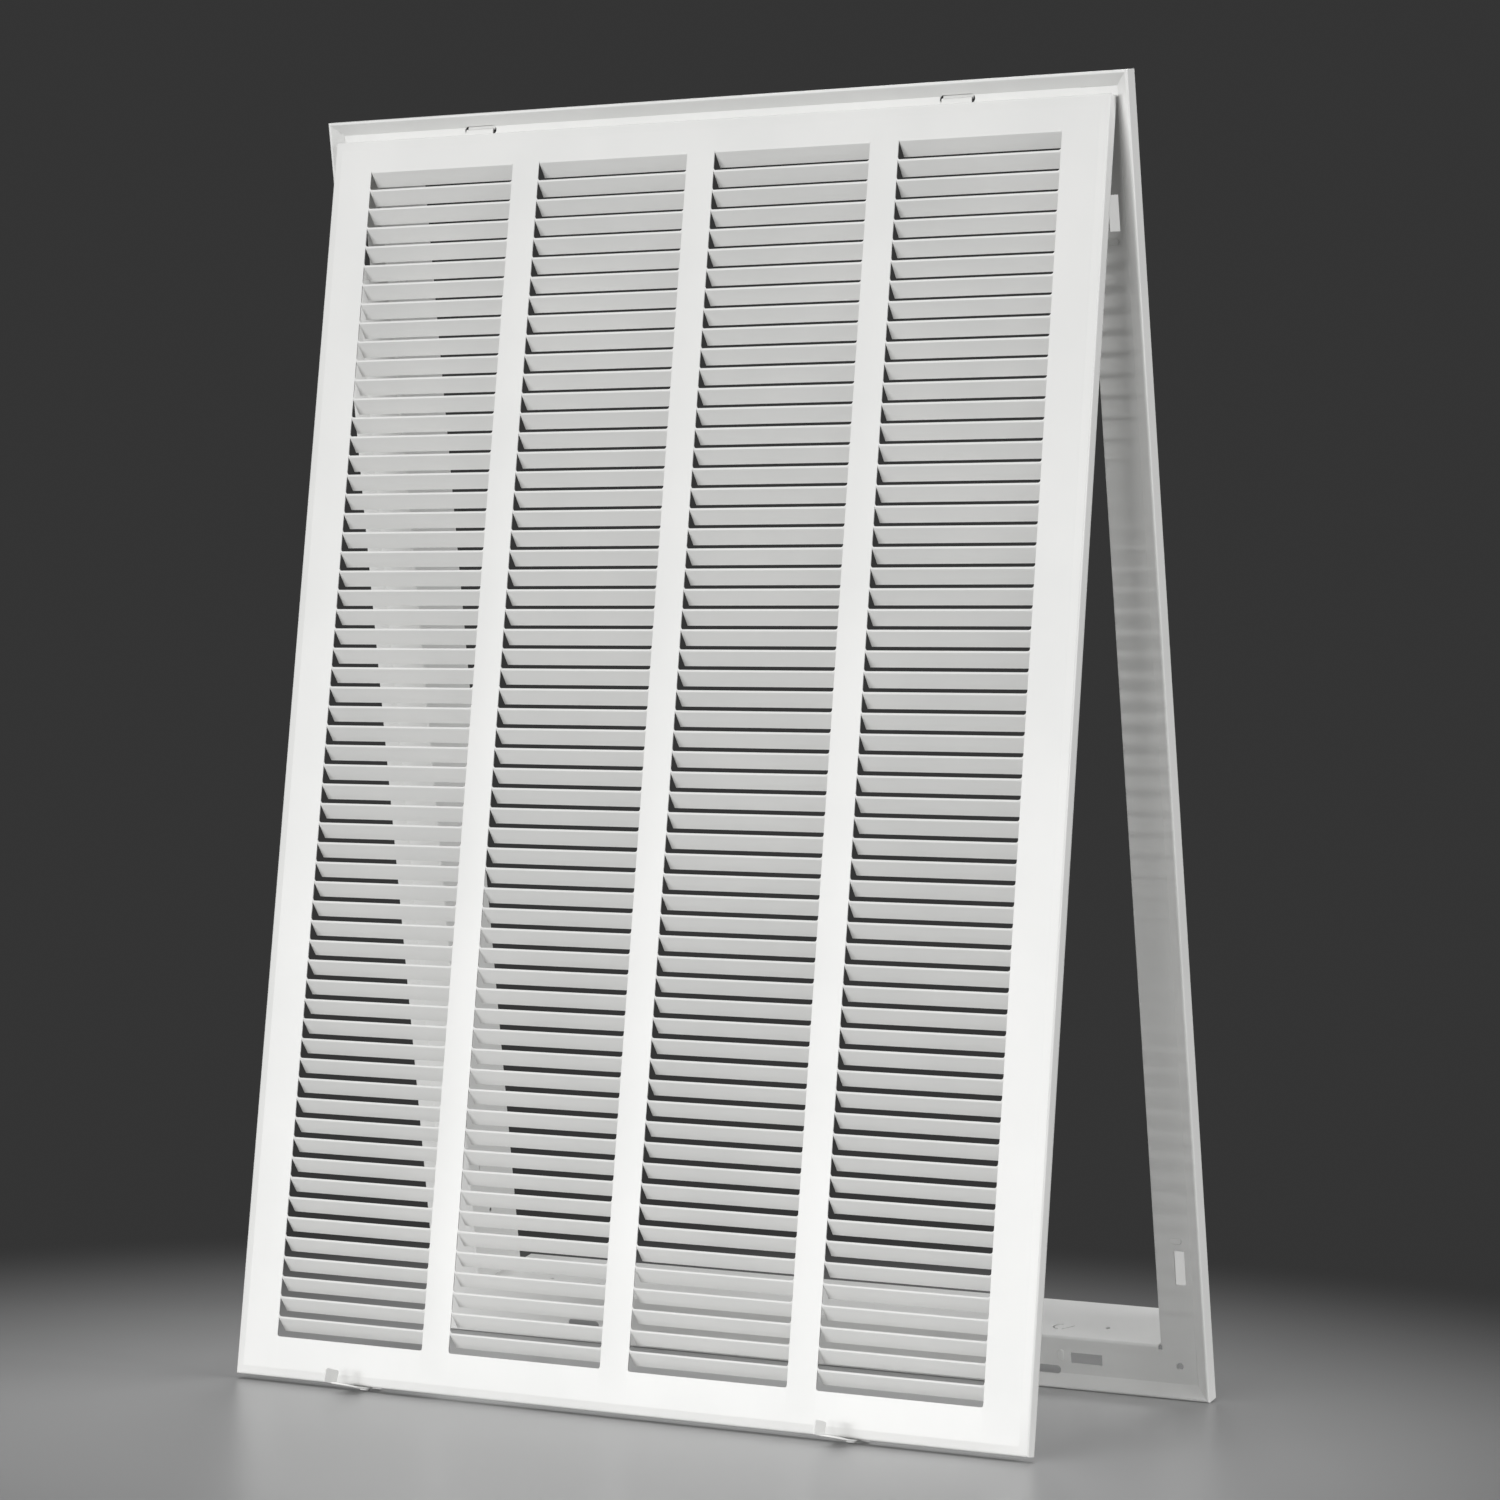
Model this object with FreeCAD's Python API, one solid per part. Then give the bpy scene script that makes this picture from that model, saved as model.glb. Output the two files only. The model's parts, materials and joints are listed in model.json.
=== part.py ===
# Return air filter grille for a 20 in by 30 in duct opening, standing open on a floor.
# A formed sheet-steel frame of four mitred members carries a louvred door on two hooked tabs.
# Two turn levers on the door's lower edge hold it shut in the frame's slots.
# Millimetres. X runs along the width, Z is up, and the front of the grille faces -Y.
# The origin is at the middle of the bottom of the whole object's box.
#
# Every piece is first drawn with the door shut and the hinge axis along X through the origin.
# There, "down" is measured from the frame's upper edge and "back" from the plane of its front lip.
# The frame and the open door are then leaned against each other, as they stand.

import FreeCAD, Part
import math
import os
from FreeCAD import Vector

# Frame: outer size, sheet and section
frame_width = 574.7
frame_height = 828.7
frame_sheet = 0.9
rim_depth = 11.0
lip_radius = 1.2
lip_width = 2.2
valley_inset = 9.0
web_depth = 5.0
collar_inset = 33.3
side_collar_depth = 59.5
upper_collar_depth = 74.0
collar_fold_radius = 1.8
corner_gap = 0.1
corner_notch = 3.0

# Frame: holes in the webs and collars, measured from each end of a member
screw_hole_inset = 20.5
screw_hole_radius = 2.4
clip_slot_length = 22.0
clip_slot_width = 7.0
clip_slot_from_end = 85.0
across_clip_inset = 19.6
upright_clip_inset = 16.5
dimple_from_end = 102.5
dimple_offset = 1.3
dimple_length = 7.4
dimple_width = 4.0
dimple_height = 0.7
latch_slot_length = 24.0
latch_slot_width = 5.4
latch_slot_inset = 11.0
latch_slot_from_middle = 172.0
collar_hole_from_end = 79.0
collar_hole_radius = 1.6
collar_hole_depth = 28.0
knockout_from_end = 110.0
knockout_depth = 23.0
knockout_radius = 5.0
knockout_cut = 0.9

# Door: one folded sheet with lanced louvres
door_side_gap = 9.15
door_sheet = 0.8
door_return = 9.5
door_edge_radius = 1.5
door_bevel_width = 6.0
door_bevel_depth = 0.8
door_top_gap = 16.1
door_bottom_gap = 10.1
door_seat_gap = 0.3
louvre_pitch = 12.6
louvre_columns = 4
louvre_column_gap = 19.6
louvre_side_margin = 30.0
louvre_top_margin = 22.0
louvre_bottom_margin = 24.5
louvre_lip = 1.2
louvre_angle = 45.0
louvre_side_cut = 0.3

# Hinge: tabs of the door's sheet hooked through the frame's upper slots
hinge_inset = 10.8
tab_width = 20.5
tab_gap = 0.3
tab_hook = 3.2
tab_neck_up = 0.4
tab_neck_down = 1.4
opening_angle = 17.3

# Latches: a turn lever riveted under the door's lower return, near the left end of each lower slot
lever_sheet = 1.0
lever_gap = 0.15
lever_pivot_depth = 5.0
lever_pivot_offset = 10.0
lever_length = 24.4
lever_tab_edge = 7.8
lever_bend_from_pivot = 9.5
lever_bend_angle = 10.0
lever_heel_radius = 3.9
lever_heel_angle = 150.0
hook_inner_radius = 8.4
hook_outer_radius = 10.8
hook_start_angle = 27.0
hook_neck_angle = 63.0
hook_end_angle = 100.0
thumb_tab_start = 18.9
thumb_tab_length = 10.9
thumb_tab_height = 8.6
thumb_tab_corner = 1.5
left_lever_angle = -11.0
right_lever_angle = -7.0
rivet_radius = 2.0
rivet_fit = 0.03
rivet_running_fit = 0.06
rivet_head_radius = 3.4
rivet_head_height = 1.2
rivet_tail_radius = 3.0
rivet_tail_height = 1.0

# Sizes and places that follow from the ones above
door_width = frame_width - 2 * door_side_gap
door_height = frame_height - door_top_gap - door_bottom_gap
louvre_field = door_height - louvre_top_margin - louvre_bottom_margin
louvre_rows = int(louvre_field / louvre_pitch + 0.01)
louvre_width = ((door_width - 2 * louvre_side_margin - (louvre_columns - 1) * louvre_column_gap)
                / louvre_columns)
hinge_depth = web_depth + frame_sheet / 2
door_face = web_depth - door_seat_gap - door_return
door_bottom = door_top_gap + door_height
lever_pivot_back = door_face + lever_pivot_depth
X_AXIS = Vector(1, 0, 0)


def point(across, down, back):
    """A point of the shut grille: across from the middle, down from the top edge, back from the lip."""
    return Vector(across, back - hinge_depth, hinge_inset - down)


def box(x0, x1, down0, down1, back0, back1):
    """A block between two places across, down and back."""
    corner = point(x0, down1, back0)
    return Part.makeBox(x1 - x0, back1 - back0, down1 - down0, corner)


def fuse_all(shapes):
    """One clean solid from pieces that touch or overlap."""
    joined = shapes[0].multiFuse(shapes[1:]) if len(shapes) > 1 else shapes[0]
    return joined.removeSplitter()


def profile_face(edges):
    """A flat face from edges listed in order."""
    return Part.Face(Part.Wire(edges))


# Frame members. Each is drawn along X from 0 to its length, with the outer edge on Y = 0,
# inward along +Y and back along +Z, and then turned to its side of the frame.

def line(p, q):
    return Part.LineSegment(Vector(0, *p), Vector(0, *q)).toShape()


def arc(p, q, r):
    return Part.Arc(Vector(0, *p), Vector(0, *q), Vector(0, *r)).toShape()


def arc_middle(centre, radius, degrees):
    angle = math.radians(degrees)
    return (centre[0] + radius * math.cos(angle), centre[1] + radius * math.sin(angle))


def rim_face():
    """Section of the rim: outer return, rounded lip and the slope down to the web."""
    t = frame_sheet
    slope = math.atan2(web_depth, valley_inset - lip_width)
    shift = t * math.tan(slope / 2)
    outer = (lip_radius, lip_radius)
    inner_radius = lip_radius - t
    return profile_face([
        line((0, rim_depth), (0, lip_radius)),
        arc((0, lip_radius), arc_middle(outer, lip_radius, 225), (lip_radius, 0)),
        line((lip_radius, 0), (lip_width, 0)),
        line((lip_width, 0), (valley_inset, web_depth)),
        line((valley_inset, web_depth), (valley_inset, web_depth + t / math.cos(slope))),
        line((valley_inset, web_depth + t / math.cos(slope)), (lip_width - shift, t)),
        line((lip_width - shift, t), (lip_radius, t)),
        arc((lip_radius, t), arc_middle(outer, inner_radius, 225), (t, lip_radius)),
        line((t, lip_radius), (t, rim_depth)),
        line((t, rim_depth), (0, rim_depth)),
    ])


def web_and_collar_face(collar_depth):
    """Section of the flat web and the collar that is folded back into the duct."""
    t = frame_sheet
    r = collar_fold_radius
    centre = (collar_inset - r, web_depth + r)
    return profile_face([
        line((valley_inset, web_depth), (collar_inset - r, web_depth)),
        arc((collar_inset - r, web_depth), arc_middle(centre, r, 315), (collar_inset, web_depth + r)),
        line((collar_inset, web_depth + r), (collar_inset, collar_depth)),
        line((collar_inset, collar_depth), (collar_inset - t, collar_depth)),
        line((collar_inset - t, collar_depth), (collar_inset - t, web_depth + r)),
        arc((collar_inset - t, web_depth + r), arc_middle(centre, r - t, 315),
            (collar_inset - r, web_depth + t)),
        line((collar_inset - r, web_depth + t), (valley_inset, web_depth + t)),
        line((valley_inset, web_depth + t), (valley_inset, web_depth)),
    ])


def mitre_cutter(length):
    """The wedges beyond the two 45 degree corners of the rim."""
    reach = valley_inset + 1
    depth = rim_depth + 2
    wedges = []
    for corner, side in ((0, -1), (length, 1)):
        outline = [Vector(corner, 0, -1), Vector(corner + side * reach, 0, -1),
                   Vector(corner + side * reach, reach, -1), Vector(corner - side * reach, reach, -1)]
        wedge = Part.Face(Part.makePolygon(outline + outline[:1])).extrude(Vector(0, 0, depth))
        wedges.append(wedge)
    return Part.makeCompound(wedges)


def slot_cutter(x, inset, length, width, rounded):
    """A slot through the web, centred on x and inset, with square or rounded ends."""
    depth = web_depth + 3 * frame_sheet + 2
    if not rounded:
        return Part.makeBox(length, width, depth, Vector(x - length / 2, inset - width / 2, -1))
    straight = length - width
    middle = Part.makeBox(straight, width, depth, Vector(x - straight / 2, inset - width / 2, -1))
    ends = [Part.makeCylinder(width / 2, depth, Vector(x + side * straight / 2, inset, -1))
            for side in (-1, 1)]
    return middle.multiFuse(ends).removeSplitter()


def knockout_cutter(x):
    """The half-round cut and the slanting cut of a filter clip pressed out of the collar."""
    y = collar_inset - 2 * frame_sheet
    through = Vector(0, 4 * frame_sheet, 0)
    outer = Part.makeCylinder(knockout_radius, through.y, Vector(x, y, knockout_depth), Vector(0, 1, 0))
    inner = Part.makeCylinder(knockout_radius - knockout_cut, through.y,
                              Vector(x, y, knockout_depth), Vector(0, 1, 0))
    half = Part.makeBox(knockout_radius, through.y, 2 * knockout_radius,
                        Vector(x - knockout_radius, y, knockout_depth - knockout_radius))
    slash = Part.makeBox(knockout_cut, through.y, 2 * knockout_radius,
                         Vector(x + knockout_radius, y, knockout_depth - knockout_radius))
    slash.rotate(Vector(x + knockout_radius, y, knockout_depth), Vector(0, 1, 0), 35)
    return Part.makeCompound([outer.cut(inner).common(half), slash])


def dimple(x, inset):
    """A pressed dimple: the pad that stands in front of the web and the hollow behind it."""
    t = frame_sheet
    pads = []
    for shrink, front in ((0, web_depth - dimple_height), (t * 0.8, web_depth - dimple_height + t)):
        width = dimple_width - 2 * shrink
        length = dimple_length - 2 * shrink
        block = Part.makeBox(width, length, dimple_height + 0.05,
                             Vector(x - width / 2, inset - length / 2, front))
        uprights = [e for e in block.Edges if abs(e.BoundBox.ZLength - (dimple_height + 0.05)) < 1e-6]
        block = block.makeChamfer(width * 0.3, uprights)
        if not shrink:
            rim = [e for e in block.Edges if e.BoundBox.ZMax < front + 1e-6]
            block = block.makeChamfer(dimple_height * 0.6, rim)
        pads.append(block)
    return pads


def member(length, collar_depth, clip_inset, has_latch_slots):
    """One frame member, whose web laps under its neighbour's at X = 0 and over it at the other end."""
    t = frame_sheet
    rim = rim_face().extrude(Vector(length, 0, 0)).cut(mitre_cutter(length))
    body = web_and_collar_face(collar_depth).extrude(Vector(length - 2 * collar_inset, 0, 0))
    body.translate(Vector(collar_inset, 0, 0))
    lap_width = collar_inset - valley_inset - corner_gap
    over = Part.makeBox(lap_width, collar_inset - valley_inset, t,
                        Vector(length - collar_inset, valley_inset, web_depth))
    under = Part.makeBox(lap_width + collar_fold_radius, lap_width - 2 * t, t,
                         Vector(valley_inset + corner_gap, valley_inset + corner_gap, web_depth + t))
    pieces = [rim, body, over, under]
    hollows = []
    for end, inward in ((0, 1), (length, -1)):
        pad, hollow = dimple(end + inward * dimple_from_end, clip_inset + dimple_offset)
        pieces.append(pad)
        hollows.append(hollow)
    solid = fuse_all(pieces)
    notch = Part.makeBox(corner_notch, corner_notch + 1, 3 * t + collar_fold_radius,
                         Vector(length - collar_inset - corner_notch / 2, collar_inset - corner_notch,
                                web_depth - t))
    cutters = hollows + [notch]
    for along in (screw_hole_inset, length - screw_hole_inset):
        cutters.append(Part.makeCylinder(screw_hole_radius, web_depth + 3 * t + 2,
                                         Vector(along, screw_hole_inset, -1)))
    for end, inward in ((0, 1), (length, -1)):
        cutters.append(slot_cutter(end + inward * clip_slot_from_end, clip_inset,
                                   clip_slot_length, clip_slot_width, False))
        cutters.append(Part.makeCylinder(collar_hole_radius, 4 * t,
                                         Vector(end + inward * collar_hole_from_end,
                                                collar_inset - 2 * t, collar_hole_depth),
                                         Vector(0, 1, 0)))
        cutters.append(knockout_cutter(end + inward * knockout_from_end))
    if has_latch_slots:
        for side in (-1, 1):
            cutters.append(slot_cutter(length / 2 + side * latch_slot_from_middle, latch_slot_inset,
                                       latch_slot_length, latch_slot_width, True))
    return solid.cut(Part.makeCompound(cutters))


def on_side(shape, angle):
    """Turns a member from its drawing place to one side of the frame, going round by a quarter turn."""
    half_w = frame_width / 2
    half_h = frame_height / 2
    start = {0: (-half_w, -half_h), 90: (half_w, -half_h), 180: (half_w, half_h), 270: (-half_w, half_h)}
    placed = shape.copy()
    placed.rotate(Vector(0, 0, 0), Vector(0, 0, 1), angle)
    placed.translate(Vector(start[angle][0], start[angle][1], 0))
    # the drawing's plane is stood up: its Y becomes up and its Z becomes back
    placed.transformShape(stand_up_matrix(), True)
    placed.translate(point(0, frame_height / 2, 0))
    return placed


def stand_up_matrix():
    """Maps the drawing's X, Y, Z to across, up and back, which is a mirror image of the drawing."""
    return FreeCAD.Matrix(1, 0, 0, 0,
                          0, 0, 1, 0,
                          0, 1, 0, 0,
                          0, 0, 0, 1)


# Door

def door_pan():
    """The face with its bevelled border and four folded returns."""
    outer = pan_block(0, door_face)
    inner = pan_block(door_sheet, door_face + door_sheet)
    return outer.cut(inner)


def pan_block(inset, face):
    """A block with a bevelled and rounded front, shrunk on all sides by the inset."""
    back = door_face + door_return + (1 if inset else 0)
    loops = []
    for edge, depth in ((inset, face + door_bevel_depth), (inset + door_bevel_width, face)):
        half = door_width / 2 - edge
        loops.append([point(-half, door_top_gap + edge, depth), point(half, door_top_gap + edge, depth),
                      point(half, door_bottom - edge, depth), point(-half, door_bottom - edge, depth)])
    base, crown = loops
    sides = [[base[i], base[(i + 1) % 4], crown[(i + 1) % 4], crown[i]] for i in range(4)]
    faces = [Part.Face(Part.makePolygon(loop + loop[:1])) for loop in [base, crown] + sides]
    front = Part.Solid(Part.Shell(faces))
    half = door_width / 2 - inset
    rear = box(-half, half, door_top_gap + inset, door_bottom - inset, face + door_bevel_depth, back)
    block = rear.fuse(front).removeSplitter()
    shoulder = point(0, 0, face + door_bevel_depth).y
    edges = [e for e in block.Edges if abs(e.BoundBox.YMin - shoulder) < 1e-4
             and abs(e.BoundBox.YMax - shoulder) < 1e-4]
    return block.makeFillet(max(door_edge_radius - inset, 0.5), edges)


def louvre_places():
    """Left side and fold line of every louvre, column by column and from the top row down."""
    field = louvre_columns * louvre_width + (louvre_columns - 1) * louvre_column_gap
    for column in range(louvre_columns):
        left = -field / 2 + column * (louvre_width + louvre_column_gap)
        for row in range(louvre_rows):
            yield left, door_top_gap + louvre_top_margin + row * louvre_pitch


def louvre_window(left, fold):
    """The opening that a louvre leaves in the face."""
    return box(left, left + louvre_width, fold, fold + louvre_pitch - louvre_lip,
               door_face - 1, door_face + 2 * door_sheet)


def louvre_blade(left, fold):
    """A blade bent back from the fold line, cut free along its sides and lower edge."""
    angle = math.radians(louvre_angle)
    reach = louvre_pitch - louvre_lip
    t = door_sheet
    x = left + louvre_side_cut
    section = [
        point(x, fold, door_face),
        point(x, fold + reach * math.cos(angle), door_face + reach * math.sin(angle)),
        point(x, fold + reach * math.cos(angle) - t * math.sin(angle),
              door_face + reach * math.sin(angle) + t * math.cos(angle)),
        point(x, fold, door_face + t / math.cos(angle)),
    ]
    outline = Part.makePolygon(section + section[:1])
    return Part.Face(outline).extrude(Vector(louvre_width - 2 * louvre_side_cut, 0, 0))


def hinge_tab(middle):
    """A tab of the upper return: up in front of the web, through the slot and up behind it."""
    t = door_sheet
    left = middle - tab_width / 2
    right = middle + tab_width / 2
    front = web_depth - door_seat_gap - t
    behind = web_depth + frame_sheet + tab_gap
    root = box(left, right, hinge_inset - tab_neck_up, door_top_gap + door_edge_radius, front, front + t)
    neck = box(left, right, hinge_inset - tab_neck_up, hinge_inset + tab_neck_down, front, behind + t)
    hook = box(left, right, hinge_inset - tab_hook, hinge_inset + tab_neck_down, behind, behind + t)
    return [root, neck, hook]


def door_panel():
    pan = door_pan()
    places = list(louvre_places())
    windows = Part.makeCompound([louvre_window(*place) for place in places])
    pan = pan.cut(windows)
    tabs = []
    for side in (-1, 1):
        tabs += hinge_tab(side * latch_slot_from_middle)
    rivet_holes = [Part.makeCylinder(rivet_radius + rivet_fit, 4 * door_sheet,
                                     point(x, door_bottom + door_sheet, lever_pivot_back), Vector(0, 0, 1))
                   for x, _ in lever_pivots()]
    pan = pan.cut(Part.makeCompound(rivet_holes))
    return pan.multiFuse([louvre_blade(*place) for place in places] + tabs)


# Latches

def lever_pivots():
    """Across place and resting angle of each lever's rivet."""
    return ((-latch_slot_from_middle - lever_pivot_offset, left_lever_angle),
            (latch_slot_from_middle - lever_pivot_offset, right_lever_angle))


def lever(pivot, angle):
    """A turn lever: a leaf bent up to a thumb tab on its left edge, with a hook behind the pivot."""
    top = door_bottom + lever_gap
    bottom = top + lever_sheet
    edge = -lever_tab_edge
    tip = -lever_length
    heel = lever_heel_radius

    def at(x, back):
        return point(pivot + x, bottom, lever_pivot_back + back)

    def polar(radius, degrees):
        return (radius * math.cos(math.radians(degrees)), radius * math.sin(math.radians(degrees)))

    def bow(p, q, r):
        return Part.Arc(at(*p), at(*q), at(*r)).toShape()

    def straight(p, q):
        return Part.LineSegment(at(*p), at(*q)).toShape()

    def round_pivot(radius, start, end):
        return bow(polar(radius, start), polar(radius, (start + end) / 2), polar(radius, end))

    neck_side = (5.0, 1.6)
    bulge = (6.5, -11.2)
    outline = [
        straight((edge, tip), (edge, -6.0)),
        bow((edge, -6.0), (-6.4, -1.3), polar(heel, lever_heel_angle)),
        round_pivot(heel, lever_heel_angle, hook_neck_angle),
        straight(polar(heel, hook_neck_angle), polar(hook_inner_radius, hook_neck_angle)),
        round_pivot(hook_inner_radius, hook_neck_angle, hook_end_angle),
        straight(polar(hook_inner_radius, hook_end_angle), polar(hook_outer_radius, hook_end_angle)),
        round_pivot(hook_outer_radius, hook_end_angle, hook_start_angle),
        straight(polar(hook_outer_radius, hook_start_angle), neck_side),
        bow(neck_side, (5.6, -4.5), bulge),
        bow(bulge, (5.7, -15.4), (3.0, -18.8)),
        bow((3.0, -18.8), (-0.2, -21.0), (-3.5, -22.7)),
        straight((-3.5, -22.7), (edge, tip)),
    ]
    plate = Part.Face(Part.Wire(outline)).extrude(Vector(0, 0, lever_sheet))
    tab_front = -thumb_tab_start - thumb_tab_length
    thumb = box(pivot + edge, pivot + edge + lever_sheet, bottom - thumb_tab_height, bottom,
                lever_pivot_back + tab_front, lever_pivot_back - thumb_tab_start)
    upper = [e for e in thumb.Edges if e.BoundBox.ZMin > thumb.BoundBox.ZMax - 1e-6
             and e.BoundBox.XLength > lever_sheet / 2]
    upper = [e for e in upper if e.BoundBox.YLength < 1e-6]
    thumb = thumb.makeFillet(thumb_tab_corner, upper)
    flat = fuse_all([plate, thumb])
    bend_back = lever_pivot_back - lever_bend_from_pivot
    ahead = box(pivot - 30, pivot + 30, bottom - 20, bottom + 5, bend_back - 30, bend_back)
    raised = flat.common(ahead)
    raised.rotate(point(pivot, bottom, bend_back), X_AXIS, -lever_bend_angle)
    solid = fuse_all([flat.cut(ahead), raised])
    hole = Part.makeCylinder(rivet_radius + rivet_running_fit, 3 * lever_sheet,
                             point(pivot, bottom + lever_sheet, lever_pivot_back), Vector(0, 0, 1))
    solid = solid.cut(hole)
    solid.rotate(point(pivot, bottom, lever_pivot_back), Vector(0, 0, 1), angle)
    return solid


def rivet(pivot):
    """A rivet with a domed head below the lever and a flat tail inside the return."""
    inside = door_bottom - door_sheet
    lever_low = door_bottom + lever_gap + lever_sheet
    head_top = lever_low + lever_gap
    low = point(pivot, head_top + rivet_head_height, lever_pivot_back)
    shank = Part.makeCylinder(rivet_radius, head_top - inside, point(pivot, head_top, lever_pivot_back),
                              Vector(0, 0, 1))
    head = Part.makeCylinder(rivet_head_radius, rivet_head_height, low, Vector(0, 0, 1))
    lower_rim = [e for e in head.Edges if e.BoundBox.ZMax < low.z + 1e-6]
    head = head.makeChamfer(rivet_head_height * 0.4, lower_rim)
    tail = Part.makeCylinder(rivet_tail_radius, rivet_tail_height, point(pivot, inside, lever_pivot_back),
                             Vector(0, 0, 1))
    return fuse_all([shank, head, tail])


# Standing pose

def standing_lean():
    """The frame's lean at which its lower lip and the door's rivet heads stand on one floor."""
    opening = math.radians(opening_angle)
    foot_back = lever_pivot_back + rivet_head_radius - rivet_head_height * 0.4
    head_low = door_bottom + lever_gap + lever_sheet + lever_gap + rivet_head_height
    foot = point(0, head_low, foot_back)
    lip = point(0, frame_height - lip_radius, lip_radius)
    # a point (y, z) turned by an angle about the hinge stands at y sin + z cos
    # lip height - lip radius = foot height, written as p sin(lean) + q cos(lean) = lip radius
    p = lip.y - (foot.y * math.cos(opening) + foot.z * math.sin(opening))
    q = lip.z - (foot.z * math.cos(opening) - foot.y * math.sin(opening))
    return math.degrees(math.asin(lip_radius / math.hypot(p, q)) - math.atan2(q, p))


def build_parts():
    """Every node, shut and upright about the hinge axis, with the body that carries it."""
    across = member(frame_width, upper_collar_depth, across_clip_inset, True)
    upright = member(frame_height, side_collar_depth, upright_clip_inset, False)
    left, right = lever_pivots()
    return {
        "frame_top": ("frame", on_side(across, 180)),
        "frame_bottom": ("frame", on_side(across, 0)),
        "frame_left": ("frame", on_side(upright, 270)),
        "frame_right": ("frame", on_side(upright, 90)),
        "door_panel": ("door", door_panel()),
        "latch_lever_left": ("door", lever(*left)),
        "latch_lever_right": ("door", lever(*right)),
        "latch_rivets": ("door", Part.makeCompound([rivet(left[0]), rivet(right[0])])),
    }


def stand(parts):
    """Leans the frame and the door, and moves all so that the origin is at the box's bottom middle."""
    lean = standing_lean()
    turn = {"frame": lean, "door": lean - opening_angle}
    placed = {}
    for name, (body, shape) in parts.items():
        shape.rotate(Vector(0, 0, 0), X_AXIS, turn[body])
        placed[name] = shape
    bounds = Part.makeCompound(list(placed.values())).BoundBox
    shift = Vector(0, -(bounds.YMin + bounds.YMax) / 2, -bounds.ZMin)
    for shape in placed.values():
        shape.translate(shift)
    print("frame lean", round(lean, 3), "door lean", round(opening_angle - lean, 3))
    print("hinge axis at", round(shift.y, 3), round(shift.z, 3))
    return placed


os.makedirs("parts", exist_ok=True)
for node, solid in stand(build_parts()).items():
    print(node, "solids", len(solid.Solids), "valid", solid.isValid(), "volume", round(solid.Volume, 1))
    solid.exportStep("parts/" + node + ".step")
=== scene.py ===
# Return air grille standing ajar: a louvred sheet steel door hung on a folded mounting frame.
# Lengths in the pieces' settings are millimetres. The studio, the camera and the scene are in metres.

import json
import math

import bmesh
import bpy
import numpy as np
from mathutils import Euler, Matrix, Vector


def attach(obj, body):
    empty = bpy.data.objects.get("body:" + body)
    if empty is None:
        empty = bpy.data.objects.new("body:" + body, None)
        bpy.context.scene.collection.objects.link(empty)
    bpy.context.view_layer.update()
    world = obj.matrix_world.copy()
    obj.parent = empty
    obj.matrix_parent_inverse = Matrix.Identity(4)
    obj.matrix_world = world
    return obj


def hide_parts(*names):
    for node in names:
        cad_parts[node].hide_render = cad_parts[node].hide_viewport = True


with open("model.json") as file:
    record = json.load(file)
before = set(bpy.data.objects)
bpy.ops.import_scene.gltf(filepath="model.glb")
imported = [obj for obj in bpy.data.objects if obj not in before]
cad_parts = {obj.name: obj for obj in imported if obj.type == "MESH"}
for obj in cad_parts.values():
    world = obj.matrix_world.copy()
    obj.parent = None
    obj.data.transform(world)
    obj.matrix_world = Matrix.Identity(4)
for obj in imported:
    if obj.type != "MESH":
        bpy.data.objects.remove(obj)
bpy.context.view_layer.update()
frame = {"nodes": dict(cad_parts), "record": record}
record = frame["record"]
print("frame loaded:", len(frame["nodes"]), "nodes")

grille = {
    "hingeDepth": 5.45,       # from the frame's front lip to the hinge line
    "hingeInset": 10.8,       # from the frame's upper edge to the hinge line
}

# The door's lean is the frame's lean less the angle at which the door stands open
mountAxis = next(m for m in record["mounts"] if m["name"] == "wall_face")["axis"]
hinge = next(j for j in record["behaviour"]["joints"] if j["name"] == "door_hinge")
frameLean = math.atan2(mountAxis[2], mountAxis[1])
doorLean = frameLean + math.radians(hinge["range_deg"][0])


# Places drawn shut (across, down, back in mm) become world points in metres: y is measured back
# and z up from the hinge line, the pair is turned about X by the lean, and the hinge's place is added.
def hung(across, down, back, lean):
    y = back - grille["hingeDepth"]
    z = grille["hingeInset"] - down
    turned = np.stack([across,
                       y * math.cos(lean) - z * math.sin(lean),
                       y * math.sin(lean) + z * math.cos(lean)], axis=-1)
    return turned / 1000 + np.array(hinge["pos_m"])


# Materials

def nodeTree(name):
    material = bpy.data.materials.new(name)
    material.use_nodes = True
    tree = material.node_tree
    return material, tree, tree.nodes["Principled BSDF"]


# A new node with its inputs set to numbers or fed by other nodes' sockets
def linked(tree, kind, inputs=(), settings=()):
    node = tree.nodes.new(kind)
    for key, value in dict(settings).items():
        setattr(node, key, value)
    for key, value in dict(inputs).items():
        if isinstance(value, bpy.types.NodeSocket):
            tree.links.new(value, node.inputs[key])
        else:
            node.inputs[key].default_value = value
    return node


enamelFinish = {
    "tintScale": 14,          # slow change between the two whites, waves per metre
    "tintDetail": 3,
    "tintRange": (0.35, 0.65),
    "roughness": (0.34, 0.46),
    "speckScale": 2600,       # fine change in gloss
    "speckRange": (0.3, 0.7),
    "peelScale": 620,         # the powder coat's orange peel
    "peelDetail": 2,
    "peelGrain": 0.45,
    "peelDepth": 0.035,       # mm
    "peelStrength": 0.5,
    "sheetScale": 9,          # slow waves of the sheet
    "sheetDepth": 0.25,       # mm
    "sheetStrength": 0.3,
    "refraction": 1.5,
}


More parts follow.
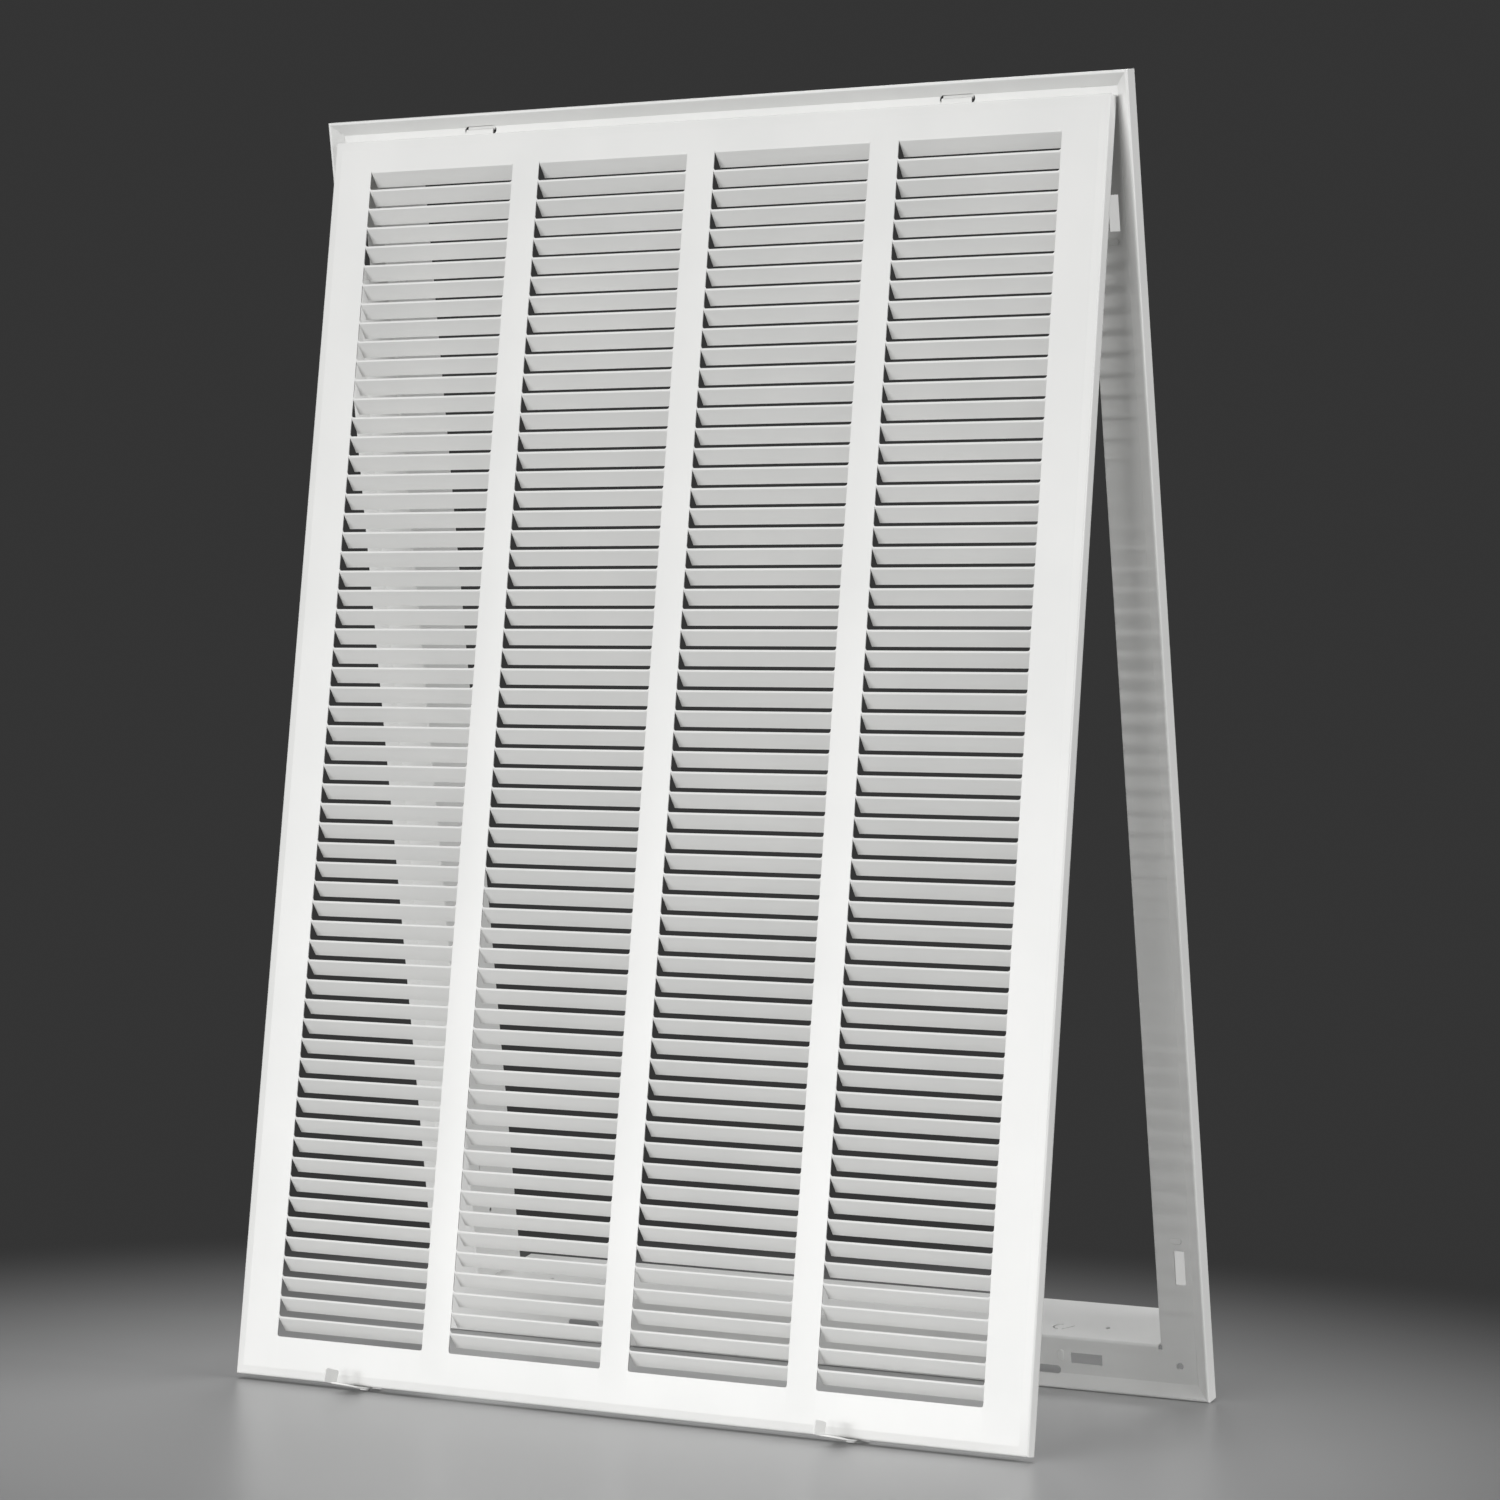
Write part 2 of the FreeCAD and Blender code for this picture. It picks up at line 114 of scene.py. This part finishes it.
# Powder coat: colour = mix of two whites by slow noise, height = fine peel waves + slow sheet waves,
# roughness = a fine speckle between two values.
def enamel(name, colour, shadeColour, peel=1.0):
    finish = enamelFinish
    material, tree, shader = nodeTree(name)
    place = linked(tree, "ShaderNodeTexCoord").outputs["Object"]

    def noise(scale, detail=1, extra=()):
        inputs = {"Vector": place, "Scale": scale, "Detail": detail, **dict(extra)}
        return linked(tree, "ShaderNodeTexNoise", inputs).outputs["Fac"]

    slow = noise(finish["tintScale"], finish["tintDetail"])
    peelWaves = noise(finish["peelScale"], finish["peelDetail"], {"Roughness": finish["peelGrain"]})
    speck = noise(finish["speckScale"])
    sheetWaves = noise(finish["sheetScale"])
    tintLow, tintHigh = finish["tintRange"]
    blend = linked(tree, "ShaderNodeMapRange", {"Value": slow, "From Min": tintLow, "From Max": tintHigh})
    tint = linked(tree, "ShaderNodeMix", {"Factor": blend.outputs["Result"], "A": (*shadeColour, 1),
                                          "B": (*colour, 1)}, {"data_type": "RGBA"})
    tree.links.new(tint.outputs[2], shader.inputs["Base Color"])
    gloss = linked(tree, "ShaderNodeMapRange", {
        "Value": speck, "From Min": finish["speckRange"][0], "From Max": finish["speckRange"][1],
        "To Min": finish["roughness"][0], "To Max": finish["roughness"][1]})
    tree.links.new(gloss.outputs["Result"], shader.inputs["Roughness"])
    fine = linked(tree, "ShaderNodeBump", {"Height": peelWaves, "Strength": finish["peelStrength"] * peel,
                                           "Distance": finish["peelDepth"] / 1000})
    broad = linked(tree, "ShaderNodeBump", {"Height": sheetWaves, "Strength": finish["sheetStrength"],
                                            "Distance": finish["sheetDepth"] / 1000,
                                            "Normal": fine.outputs["Normal"]})
    tree.links.new(broad.outputs["Normal"], shader.inputs["Normal"])
    shader.inputs["IOR"].default_value = finish["refraction"]
    return material


# Each with its white, its shaded white and how strong its orange peel is
doorEnamel = enamel("doorEnamel", (0.775, 0.775, 0.762), (0.745, 0.747, 0.735))
frameEnamel = enamel("frameEnamel", (0.772, 0.772, 0.76), (0.74, 0.742, 0.73), peel=1.1)
latchEnamel = enamel("latchEnamel", (0.77, 0.77, 0.757), (0.72, 0.72, 0.708), peel=0.8)
rivetEnamel = enamel("rivetEnamel", (0.76, 0.76, 0.75), (0.69, 0.69, 0.68), peel=0.8)
print("materials made")


# Sheet surfaces

shading = {
    "smoothAngle": 32,        # degrees between faces that still shade as one
    "normalWeight": 80,       # how far large faces keep their own normals
    "weldDistance": 2e-6,     # metres
    "flatAngle": 0.6,         # degrees within which faces are joined
    "edgeAngle": 40,          # degrees from which an edge is rounded
    "edgeSegments": 2,
}


# Quads of a rows x columns grid of points: cell (r, c) joins points r, r + 1 and c, c + 1.
# keep says which cells stay.
def patchFaces(rows, columns, keep=None):
    index = np.arange(rows * columns).reshape(rows, columns)
    quads = np.stack([index[:-1, :-1], index[1:, :-1], index[1:, 1:], index[:-1, 1:]], axis=-1)
    return quads.reshape(-1, 4) if keep is None else quads[keep]


# Points at one place (to a millionth of a millimetre) become one, so that patches share their edges
def welded(points, quads):
    keys = np.round(points * 1e6).astype(np.int64)
    _, first, inverse = np.unique(keys, axis=0, return_index=True, return_inverse=True)
    return points[first], inverse.reshape(-1)[quads]


def meshObject(name, points, quads, material, thickness=None):
    mesh = bpy.data.meshes.new(name)
    mesh.from_pydata(points, [], quads)
    mesh.validate()
    mesh.materials.append(material)
    piece = bpy.data.objects.new(name, mesh)
    bpy.context.collection.objects.link(piece)
    if thickness:
        wall = piece.modifiers.new("sheet", "SOLIDIFY")
        wall.thickness = thickness / 1000
        wall.offset = -1
        wall.use_even_offset = True
        wall.use_quality_normals = True
        flatFaces(piece)
    return piece


# Large faces keep their own normals, so that only folds and rounded edges shade softly
def flatFaces(piece):
    normals = piece.modifiers.new("normals", "WEIGHTED_NORMAL")
    normals.keep_sharp = True
    normals.weight = shading["normalWeight"]


def smoothByAngle(piece):
    mesh = piece.data
    mesh.polygons.foreach_set("use_smooth", np.ones(len(mesh.polygons), dtype=bool))
    mesh.set_sharp_from_angle(angle=math.radians(shading["smoothAngle"]))


# The door: one sheet with a bevelled border, returns, two hooked tabs and 240 louvres

door = {
    "width": 556.4,
    "height": 802.5,
    "top": 16.1,              # from the frame's upper edge
    "face": -4.8,             # behind the frame's front lip
    "sheet": 0.8,
    "bevelWidth": 6.0,
    "bevelDepth": 0.8,
    "creaseWidth": 0.5,       # where the face turns into the bevel
    "creaseDepth": 0.02,
    "edgeRadius": 1.5,
    "edgeSteps": 6,
    "return": 9.5,
    "columns": 4,
    "rows": 60,
    "pitch": 12.6,
    "columnGap": 19.6,
    "sideMargin": 30.0,
    "topMargin": 22.0,
    "lip": 1.2,
    "angle": 45,              # degrees that a blade turns back
    "foldRadius": 0.95,       # outside radius of a blade's fold
    "flareRadius": 3.6,       # the same at a blade's two ends
    "flareLength": 2.2,
    "cornerRadius": 1.5,      # of a window's lower corners
    "foldSteps": 5,
    "endSamples": (0, 0.25, 0.55, 0.95, 1.5, 2.4, 3.8, 6.0, 9.0),     # in from a window's side
    "bladeCut": 0.3,          # a blade's end stands clear of the window's side
    "tabMiddle": 172.0,
    "tabWidth": 20.5,
    "tabFront": 3.9,          # depth of its root's front
    "tabBehind": 6.2,         # depth of its hook's front
    "tabNeck": 10.4,          # upper side of the neck, down from the frame's edge
    "tabTip": 7.6,
    "tabRadii": (0.5, 1.1, 0.35),     # root, neck and hook
    "tabSteps": 5,
}

tiny = 1e-6                   # mm, for places that meet


# The face: a grid of (across, down) with the windows' cells left out. Each louvre has two levels,
# the window's lower edge and the start of the fold. At distance d from a window's side, that edge
# rises by R - sqrt(R^2 - (R - d)^2), and the fold's radius is thin + (flare - thin) exp(-d / length).
def doorFace():
    s = door
    half = s["width"] / 2 - s["bevelWidth"]
    fieldWidth = s["width"] - 2 * s["sideMargin"] - (s["columns"] - 1) * s["columnGap"]
    bladeWidth = fieldWidth / s["columns"]
    lefts = -s["width"] / 2 + s["sideMargin"] + np.arange(s["columns"]) * (bladeWidth + s["columnGap"])
    ends = np.array(s["endSamples"])
    samples = np.concatenate([ends, bladeWidth - ends[::-1]])
    tabs = np.array([side * s["tabMiddle"] + end * s["tabWidth"] / 2
                     for side in (-1, 1) for end in (-1, 1)])
    levels = np.unique(np.round(np.concatenate(
        [[-half, half], tabs, (lefts[:, None] + samples).ravel()]), 6))
    middle = (levels[:-1] + levels[1:]) / 2
    inColumn = ((middle[:, None] > lefts) & (middle[:, None] < lefts + bladeWidth)).any(axis=1)
    # distance from the nearest window side, endless outside the columns
    offset = levels[:, None] - lefts
    inside = (offset > -tiny) & (offset < bladeWidth + tiny)
    distance = np.where(inside, np.minimum(offset, bladeWidth - offset), np.inf).min(axis=1).clip(0)
    atWindow = np.isfinite(distance)
    r = s["cornerRadius"]
    rounded = r - np.sqrt(np.clip(r * r - np.clip(r - distance, 0, r) ** 2, 0, None))
    rise = np.where(atWindow, rounded, r)
    folds = s["top"] + s["topMargin"] + np.arange(s["rows"] + 1) * s["pitch"]
    flare = (s["flareRadius"] - s["foldRadius"]) * np.exp(-distance / s["flareLength"])
    radius = np.where(atWindow, s["foldRadius"] + flare, s["flareRadius"])
    tangent = radius * math.tan(math.radians(s["angle"] / 2))
    edgeLevel = folds[:, None] - s["lip"] - rise[None, :]
    startLevel = folds[:, None] - tangent[None, :]
    edgeLevel[0] = s["top"] + s["bevelWidth"]
    bottom = np.full(len(levels), s["top"] + s["height"] - s["bevelWidth"])
    pairs = np.stack([edgeLevel, startLevel], axis=1).reshape(-1, len(levels))
    down = np.concatenate([pairs[:-1], bottom[None]])
    across = np.broadcast_to(levels, down.shape)
    keep = np.ones((down.shape[0] - 1, down.shape[1] - 1), dtype=bool)
    keep[1:-1:2][:, inColumn] = False
    points = np.stack([across, down, np.full(down.shape, s["face"])], axis=-1)
    return {"points": points, "keep": keep, "levels": levels, "folds": folds[:-1], "radius": radius,
            "tangent": tangent, "lefts": lefts, "bladeWidth": bladeWidth}


# One blade: an arc that turns back by the blade's angle a, then straight to its free edge.
# Arc point = fold start + r (sin t, 1 - cos t) for t from 0 to a; tip = fold + reach (cos a, sin a).
# The free ends draw in from the window's sides as the blade goes back.
def doorBlades(face):
    s = door
    angle = math.radians(s["angle"])
    reach = s["pitch"] - s["lip"]
    steps = np.linspace(0, angle, s["foldSteps"] + 1)
    blocks = []
    for left in face["lefts"]:
        use = (face["levels"] > left - tiny) & (face["levels"] < left + face["bladeWidth"] + tiny)
        across = face["levels"][use]
        radius = face["radius"][use]
        tangent = face["tangent"][use]
        down = -tangent[None] + radius[None] * np.sin(steps)[:, None]
        back = radius[None] * (1 - np.cos(steps))[:, None]
        middle = (back[-1] + reach * math.sin(angle)) / 2
        tip = np.full((1, len(across)), reach)
        down = np.concatenate([down, (middle / math.tan(angle))[None], tip * math.cos(angle)])
        back = np.concatenate([back, middle[None], tip * math.sin(angle)])
        draw = s["bladeCut"] * np.minimum(1, np.arange(len(down)) / s["foldSteps"])
        centre = left + face["bladeWidth"] / 2
        x = centre + (across - centre)[None] * (1 - draw[:, None] / (face["bladeWidth"] / 2))
        block = np.stack([x, down, s["face"] + back], axis=-1)
        many = np.broadcast_to(block, (len(face["folds"]),) + block.shape).copy()
        many[..., 1] += face["folds"][:, None, None]
        blocks.append(many)
    return blocks


# The border: rings around the face, each with its own inset and depth. The first is the face's own
# edge. Bevel, rounded edge and return follow; a side's points keep their place along it and only the
# corners move out. Rounded edge = centre - r (sin t, cos t) for t from the bevel's slope to straight back.
def doorBorder(face):
    s = door
    r = s["edgeRadius"]
    shoulder = s["face"] + s["bevelDepth"]
    slope = math.atan2(s["bevelDepth"], s["bevelWidth"])
    cut = r * math.tan((math.pi / 2 - slope) / 2)
    turns = np.linspace(slope, math.pi / 2, s["edgeSteps"] + 1)
    arcInset = r - r * np.sin(turns)
    arcDepth = shoulder + cut - r * np.cos(turns)
    insets = np.concatenate([[s["bevelWidth"], s["bevelWidth"] - s["creaseWidth"]], arcInset, [0, 0]])
    depths = np.concatenate([[s["face"], s["face"] + s["creaseDepth"]], arcDepth,
                             [s["tabFront"] - s["tabRadii"][0], s["face"] + s["return"]]])
    levelsX = face["levels"]
    levelsZ = face["points"][:, 0, 1]
    half = s["width"] / 2
    top = s["top"]
    bottom = s["top"] + s["height"]
    rings = []
    for inset, depth in zip(insets, depths):
        x = levelsX.copy()
        x[0], x[-1] = -half + inset, half - inset
        z = levelsZ.copy()
        z[0], z[-1] = top + inset, bottom - inset
        ring = np.concatenate([
            np.stack([x, np.full(len(x), top + inset)], axis=-1),
            np.stack([np.full(len(z) - 1, half - inset), z[1:]], axis=-1),
            np.stack([x[-2::-1], np.full(len(x) - 1, bottom - inset)], axis=-1),
            np.stack([np.full(len(z) - 1, -half + inset), z[-2::-1]], axis=-1)])
        rings.append(np.concatenate([ring, np.full((len(ring), 1), depth)], axis=-1))
    return np.array(rings)


# A hinge tab's front: the upper return turns up, goes back through the slot and up again behind it.
# Each bend is a quarter circle: (down, back) = centre + radius (cos t, sin t).
def doorTab(middle):
    s = door
    front, behind, neck, tip = s["tabFront"], s["tabBehind"], s["tabNeck"], s["tabTip"]
    turn = np.linspace(0, math.pi / 2, s["tabSteps"] + 1)
    rootR, neckR, hookR = s["tabRadii"]
    sine, cosine = np.sin(turn), np.cos(turn)
    root = np.stack([s["top"] - rootR + rootR * cosine, front - rootR + rootR * sine], axis=-1)
    over = np.stack([neck + neckR - neckR * sine, front + neckR - neckR * cosine], axis=-1)
    hook = np.stack([neck - hookR + hookR * cosine, behind - hookR + hookR * sine], axis=-1)
    path = np.concatenate([root, over, hook, [[tip, behind]]])
    sides = middle + np.array([-0.5, 0.5]) * s["tabWidth"]
    across = np.broadcast_to(sides[None, :], (len(path), 2))
    return np.stack([across, np.broadcast_to(path[:, :1], across.shape),
                     np.broadcast_to(path[:, 1:], across.shape)], axis=-1)


# Face, blades, border and tabs are put together, welded, hung and given the sheet's thickness
def buildDoor():
    face = doorFace()
    points = [face["points"].reshape(-1, 3)]
    quads = [patchFaces(*face["points"].shape[:2], keep=face["keep"])]
    total = len(points[0])

    def add(block, faces):
        nonlocal total
        points.append(block.reshape(-1, 3))
        quads.append(faces + total)
        total += len(points[-1])

    for many in doorBlades(face):
        rows, columns = many.shape[1:3]
        one = patchFaces(rows, columns)
        shifts = (np.arange(len(many)) * rows * columns)[:, None, None]     # one blade after another
        add(many, (one[None] + shifts).reshape(-1, 4))
    rings = doorBorder(face)
    keep = np.ones((rings.shape[0] - 1, rings.shape[1] - 1), dtype=bool)
    middles = (rings[-1, :-1] + rings[-1, 1:]) / 2
    underTab = np.abs(np.abs(middles[:, 0]) - door["tabMiddle"]) < door["tabWidth"] / 2
    onUpperSide = np.abs(middles[:, 1] - door["top"]) < tiny
    keep[-1] = ~(underTab & onUpperSide)
    add(rings, patchFaces(*rings.shape[:2], keep=keep)[:, ::-1])
    for side in (-1, 1):
        tab = doorTab(side * door["tabMiddle"])
        add(tab, patchFaces(*tab.shape[:2])[:, ::-1])
    flat, quads = welded(np.concatenate(points), np.concatenate(quads))
    world = hung(flat[:, 0], flat[:, 1], flat[:, 2], doorLean)
    skin = meshObject("doorSkin", world, quads, doorEnamel, thickness=door["sheet"])
    smoothByAngle(skin)
    return skin


doorSkin = buildDoor()
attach(doorSkin, "door")
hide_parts("door_panel")
print("door built:", len(doorSkin.data.polygons), "faces")


# The frame's members, levers and rivets: welded copies of the solids' meshes, with soft edges

copies = {
    "frameTop": ("frame_top", "frame", "frame_enamel", frameEnamel),
    "frameBottom": ("frame_bottom", "frame", "frame_enamel", frameEnamel),
    "frameLeft": ("frame_left", "frame", "frame_enamel", frameEnamel),
    "frameRight": ("frame_right", "frame", "frame_enamel", frameEnamel),
    "leverLeft": ("latch_lever_left", "left_lever", "latch_enamel", latchEnamel),
    "leverRight": ("latch_lever_right", "right_lever", "latch_enamel", latchEnamel),
    "rivets": ("latch_rivets", "door", "rivet_metal", rivetEnamel),
}
# mm, the rounded edge of each finish's pieces
edgeWidth = {"frame_enamel": 0.34, "latch_enamel": 0.22, "rivet_metal": 0.25}


# The node's mesh with its doubles merged and its flat faces joined, then a small rounded edge
def weldedCopy(name, node, body, slotName, material):
    source = frame["nodes"][node]
    mesh = bpy.data.meshes.new(name)
    work = bmesh.new()
    work.from_mesh(source.data)
    bmesh.ops.remove_doubles(work, verts=work.verts, dist=shading["weldDistance"])
    flat = math.radians(shading["flatAngle"])
    bmesh.ops.dissolve_limit(work, angle_limit=flat, verts=work.verts, edges=work.edges)
    work.to_mesh(mesh)
    work.free()
    mesh.materials.append(material)
    piece = bpy.data.objects.new(name, mesh)
    bpy.context.collection.objects.link(piece)
    smoothByAngle(piece)
    edge = piece.modifiers.new("edge", "BEVEL")
    edge.width = edgeWidth[slotName] / 1000
    edge.segments = shading["edgeSegments"]
    edge.limit_method = "ANGLE"
    edge.angle_limit = math.radians(shading["edgeAngle"])
    edge.use_clamp_overlap = True
    flatFaces(piece)
    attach(piece, body)
    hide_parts(node)


for name, (node, body, slotName, material) in copies.items():
    weldedCopy(name, node, body, slotName, material)
print("frame members, levers and rivets dressed")


# Floor, light and camera

studio = {
    "floorSize": 16.0,        # metres
    "floorColour": (0.47, 0.472, 0.474),
    "floorRoughness": 0.36,
    "background": 0.035,      # what the camera sees beyond the floor
    "paintedLightPool": (0, -0.2, 0),    # middle of the painted pool of light on the floor
    "paintedFalloff": (0.2, 0.95),      # distances from it over which the painted light falls off into the background
    "worldStrength": 0.13,
    "aim": (0, 0, 0.42),      # what the lamps look at
    "keyLight": {"place": (-1.3, -5.2, 0.8), "size": (4.5, 0.8), "power": 230},
    "sideLight": {"place": (3.1, -0.15, 0.85), "size": (1.6, 1.2), "power": 56},
    "topLight": {"place": (-0.3, -0.7, 3.2), "size": (2.6, 2.2), "power": 28},
    "backLight": {"place": (-0.6, 2.4, 2.6), "size": (2.0, 1.4), "power": 34},
}


# Painted pool of light: pale paint that fades into the plain background as painted falloff. share =
# distance from the pool's middle, taken from 0 to 1 between the falloff's two values and made smooth.
def floorWithPaintedLight():
    material, tree, shader = nodeTree("floorWithPaintedLight")
    shader.inputs["Base Color"].default_value = (*studio["floorColour"], 1)
    shader.inputs["Roughness"].default_value = studio["floorRoughness"]
    place = linked(tree, "ShaderNodeTexCoord").outputs["Object"]
    distance = linked(tree, "ShaderNodeVectorMath", {0: place, 1: studio["paintedLightPool"]},
                      {"operation": "DISTANCE"})
    near, far = studio["paintedFalloff"]
    share = linked(tree, "ShaderNodeMapRange", {"Value": distance.outputs["Value"], "From Min": near,
                                                "From Max": far}, {"interpolation_type": "SMOOTHSTEP"})
    # Beyond the pool the floor glows at the backdrop's level: painted darkening in place of lamp falloff
    # and shade
    glow = linked(tree, "ShaderNodeEmission", {"Color": (1, 1, 1, 1), "Strength": studio["background"]})
    mixed = linked(tree, "ShaderNodeMixShader", {"Fac": share.outputs["Result"]})
    tree.links.new(shader.outputs[0], mixed.inputs[1])
    tree.links.new(glow.outputs[0], mixed.inputs[2])
    tree.links.new(mixed.outputs[0], tree.nodes["Material Output"].inputs["Surface"])
    return material


def buildFloor():
    half = studio["floorSize"] / 2
    corners = np.array([(-half, -half, 0), (half, -half, 0), (half, half, 0), (-half, half, 0)])
    floor = meshObject("floor", corners, np.array([[0, 1, 2, 3]]), floorWithPaintedLight())


# A rectangular lamp that looks at the middle of the object
def buildLamp(name):
    settings = studio[name]
    lamp = bpy.data.lights.new(name, "AREA")
    lamp.shape = "RECTANGLE"
    lamp.size, lamp.size_y = settings["size"]
    lamp.energy = settings["power"]
    holder = bpy.data.objects.new(name, lamp)
    holder.location = settings["place"]
    gaze = Vector(studio["aim"]) - Vector(settings["place"])
    holder.rotation_euler = gaze.to_track_quat("-Z", "Y").to_euler()
    bpy.context.collection.objects.link(holder)


# Dim even light on the object; camera, mirror and glass rays see the plain background:
# share = the sum of the three ray kinds, at most 1.
def buildWorld():
    world = bpy.data.worlds.new("studio")
    world.use_nodes = True
    bpy.context.scene.world = world
    tree = world.node_tree
    tree.nodes.clear()
    rays = linked(tree, "ShaderNodeLightPath").outputs
    white = (1, 1, 1, 1)
    light = linked(tree, "ShaderNodeBackground", {"Color": white, "Strength": studio["worldStrength"]})
    seen = linked(tree, "ShaderNodeBackground", {"Color": white, "Strength": studio["background"]})
    mirror = linked(tree, "ShaderNodeMath", {0: rays["Is Camera Ray"], 1: rays["Is Glossy Ray"]},
                    {"operation": "ADD"})
    direct = linked(tree, "ShaderNodeMath", {0: mirror.outputs[0], 1: rays["Is Transmission Ray"]},
                    {"operation": "ADD", "use_clamp": True})
    pick = linked(tree, "ShaderNodeMixShader", {"Fac": direct.outputs[0]})
    tree.links.new(light.outputs[0], pick.inputs[1])
    tree.links.new(seen.outputs[0], pick.inputs[2])
    out = tree.nodes.new("ShaderNodeOutputWorld")
    tree.links.new(pick.outputs[0], out.inputs["Surface"])


buildFloor()
for name in ("keyLight", "sideLight", "topLight", "backLight"):
    buildLamp(name)
buildWorld()

view = {
    "place": (1.2703, -2.2871, 0.4301),     # metres
    "turn": (90.4774, -0.7429, 28.1024),    # degrees
    "lens": 98.404,
    "shift": (-0.03668, -0.04865),
    "sensor": 36,
    "nearest": 0.05,
}
camera = bpy.data.cameras.new("camera")
camera.lens = view["lens"]
camera.sensor_width = view["sensor"]
camera.shift_x, camera.shift_y = view["shift"]
camera.clip_start = view["nearest"]
cameraObject = bpy.data.objects.new("camera", camera)
cameraObject.location = view["place"]
cameraObject.rotation_euler = Euler([math.radians(a) for a in view["turn"]])
bpy.context.collection.objects.link(cameraObject)
bpy.context.scene.camera = cameraObject
bpy.context.scene.view_settings.view_transform = "Standard"
print("stage, lights and camera set")

bpy.context.view_layer.update()
